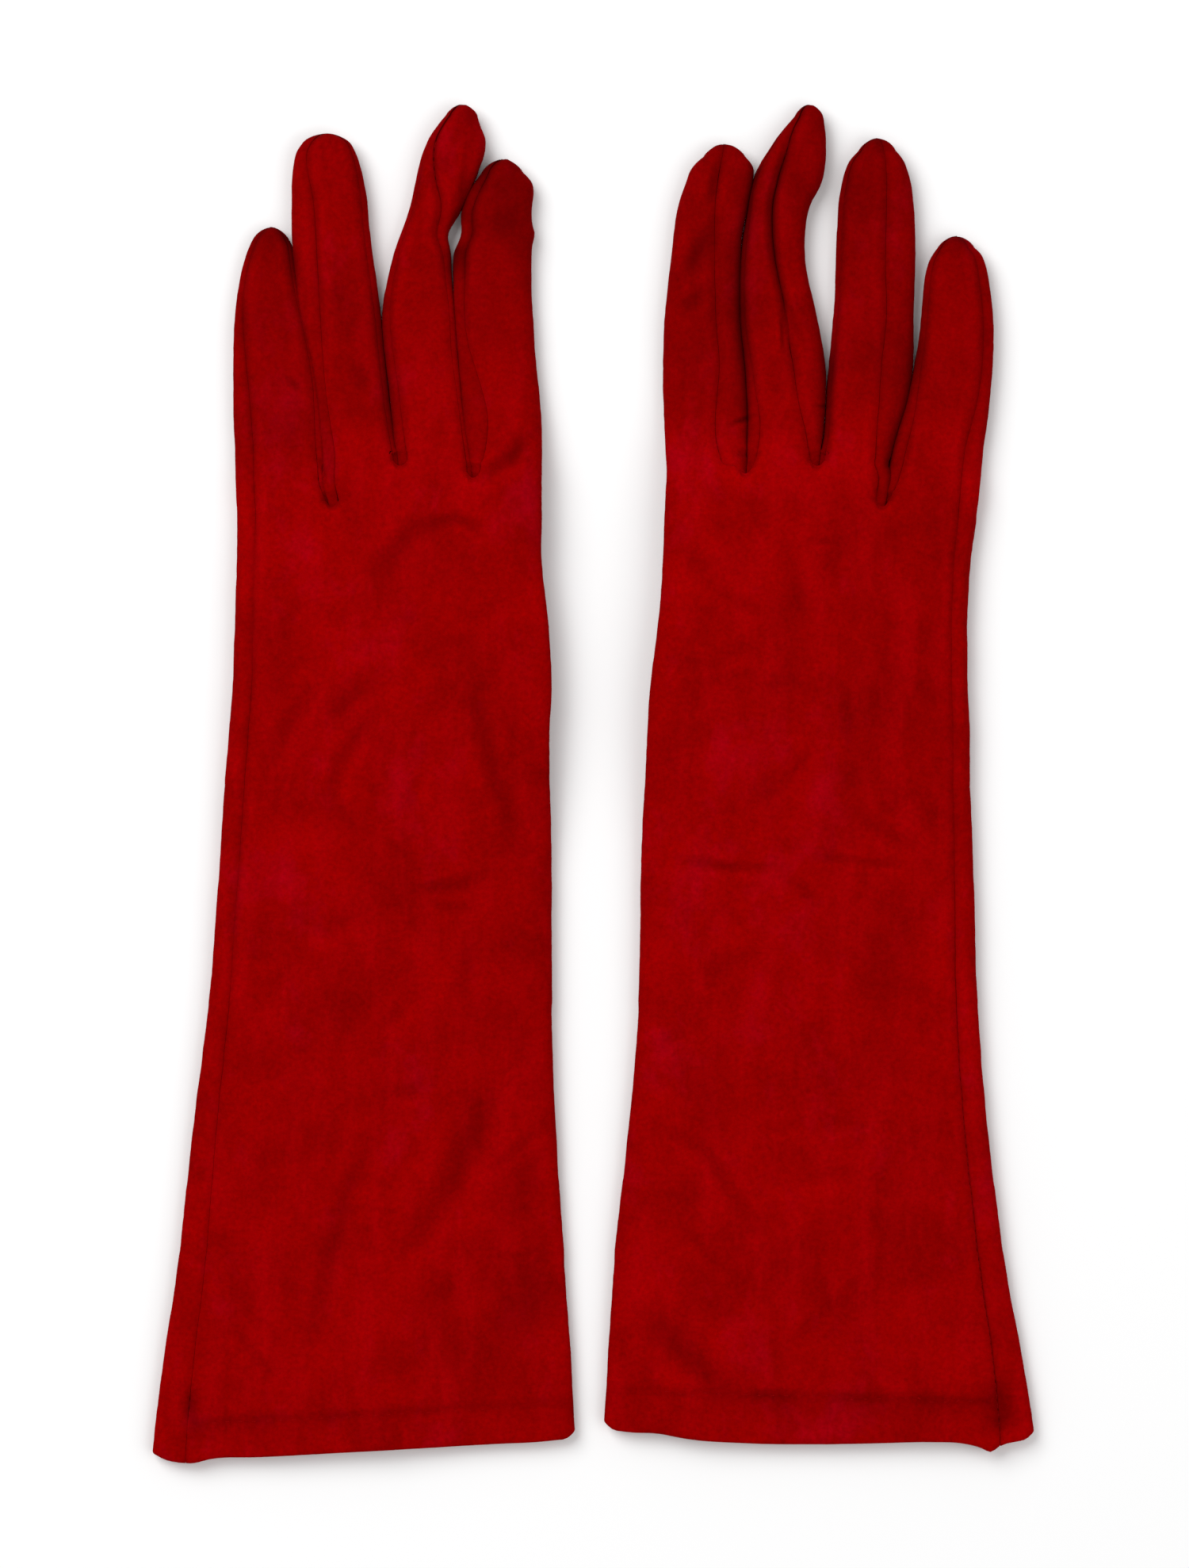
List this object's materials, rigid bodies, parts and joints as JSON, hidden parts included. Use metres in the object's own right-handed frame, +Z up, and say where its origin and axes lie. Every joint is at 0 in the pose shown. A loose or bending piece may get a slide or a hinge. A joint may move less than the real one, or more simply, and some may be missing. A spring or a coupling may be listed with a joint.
{
  "type": "pair of opera gloves",
  "caption": "Long suede dress gloves laid flat side by side, backs up, with slim fingers, side strips between them, a side seam and a flared gauntlet with a stitched hem.",
  "frame": {"origin": "middle of the pair's outline on the surface it lies on", "axes": "+Y to the fingertips, +X from the left glove to the right glove, +Z up out of the surface"},
  "size_m": [0.223, 0.3429, 0.014],
  "materials": {
    "suede": "matte, short nap",
    "thread": "matte"
  },
  "bodies": {
    "left_gauntlet": {"left_gauntlet_back": "suede", "left_gauntlet_palm": "suede", "left_hem_back": "suede", "left_hem_palm": "suede", "left_hem_stitching": "thread", "left_gauntlet_seam": "thread"},
    "left_hand": {"left_hand_back": "suede", "left_hand_palm": "suede", "left_hand_seam": "thread"},
    "left_index": {"left_index_back": "suede", "left_index_front": "suede", "left_index_strip": "suede"},
    "left_middle": {"left_middle_back": "suede", "left_middle_front": "suede", "left_middle_outer_strip": "suede", "left_middle_inner_strip": "suede"},
    "left_ring": {"left_ring_back": "suede", "left_ring_front": "suede", "left_ring_outer_strip": "suede", "left_ring_inner_strip": "suede"},
    "left_little": {"left_little_back": "suede", "left_little_front": "suede", "left_little_strip": "suede"},
    "left_thumb": {"left_thumb_upper": "suede", "left_thumb_lower": "suede"},
    "right_gauntlet": {"right_gauntlet_back": "suede", "right_gauntlet_palm": "suede", "right_hem_back": "suede", "right_hem_palm": "suede", "right_hem_stitching": "thread", "right_gauntlet_seam": "thread"},
    "right_hand": {"right_hand_back": "suede", "right_hand_palm": "suede", "right_hand_seam": "thread"},
    "right_index": {"right_index_back": "suede", "right_index_front": "suede", "right_index_strip": "suede"},
    "right_middle": {"right_middle_back": "suede", "right_middle_front": "suede", "right_middle_inner_strip": "suede", "right_middle_outer_strip": "suede"},
    "right_ring": {"right_ring_back": "suede", "right_ring_front": "suede", "right_ring_inner_strip": "suede", "right_ring_outer_strip": "suede"},
    "right_little": {"right_little_back": "suede", "right_little_front": "suede", "right_little_strip": "suede"},
    "right_thumb": {"right_thumb_upper": "suede", "right_thumb_lower": "suede"}
  },
  "joints": [
    {"name": "right_glove_lift", "type": "slide", "parent": "left_gauntlet", "child": "right_gauntlet", "axis": [0, 0, 1], "range_m": [0, 0.12]},
    {"name": "left_wrist", "type": "hinge", "parent": "left_gauntlet", "child": "left_hand", "pos_m": [-0.052, 0, 0.006], "axis": [1, 0, 0], "range_deg": [0, 60]},
    {"name": "left_index_knuckle", "type": "hinge", "parent": "left_hand", "child": "left_index", "pos_m": [-0.02175, 0.077, 0.0044], "axis": [1, 0, 0], "range_deg": [0, 75]},
    {"name": "left_middle_knuckle", "type": "hinge", "parent": "left_hand", "child": "left_middle", "pos_m": [-0.04, 0.08, 0.0044], "axis": [1, 0, 0], "range_deg": [0, 75]},
    {"name": "left_ring_knuckle", "type": "hinge", "parent": "left_hand", "child": "left_ring", "pos_m": [-0.05925, 0.08, 0.0044], "axis": [1, 0, 0], "range_deg": [0, 75]},
    {"name": "left_little_knuckle", "type": "hinge", "parent": "left_hand", "child": "left_little", "pos_m": [-0.07825, 0.07, 0.0044], "axis": [1, 0, 0], "range_deg": [0, 75]},
    {"name": "left_thumb_swing", "type": "hinge", "parent": "left_hand", "child": "left_thumb", "pos_m": [-0.034, 0.018, 0.0025], "axis": [0, 0, -1], "range_deg": [0, 45]},
    {"name": "right_wrist", "type": "hinge", "parent": "right_gauntlet", "child": "right_hand", "pos_m": [0.054, 0, 0.006], "axis": [1, 0, 0], "range_deg": [0, 60]},
    {"name": "right_index_knuckle", "type": "hinge", "parent": "right_hand", "child": "right_index", "pos_m": [0.0285, 0.078, 0.0044], "axis": [1, 0, 0], "range_deg": [0, 75]},
    {"name": "right_middle_knuckle", "type": "hinge", "parent": "right_hand", "child": "right_middle", "pos_m": [0.04775, 0.08, 0.0044], "axis": [1, 0, 0], "range_deg": [0, 75]},
    {"name": "right_ring_knuckle", "type": "hinge", "parent": "right_hand", "child": "right_ring", "pos_m": [0.0655, 0.08, 0.0044], "axis": [1, 0, 0], "range_deg": [0, 75]},
    {"name": "right_little_knuckle", "type": "hinge", "parent": "right_hand", "child": "right_little", "pos_m": [0.08525, 0.07, 0.0044], "axis": [1, 0, 0], "range_deg": [0, 75]},
    {"name": "right_thumb_swing", "type": "hinge", "parent": "right_hand", "child": "right_thumb", "pos_m": [0.039, 0.018, 0.0025], "axis": [0, 0, 1], "range_deg": [0, 45]}
  ]
}
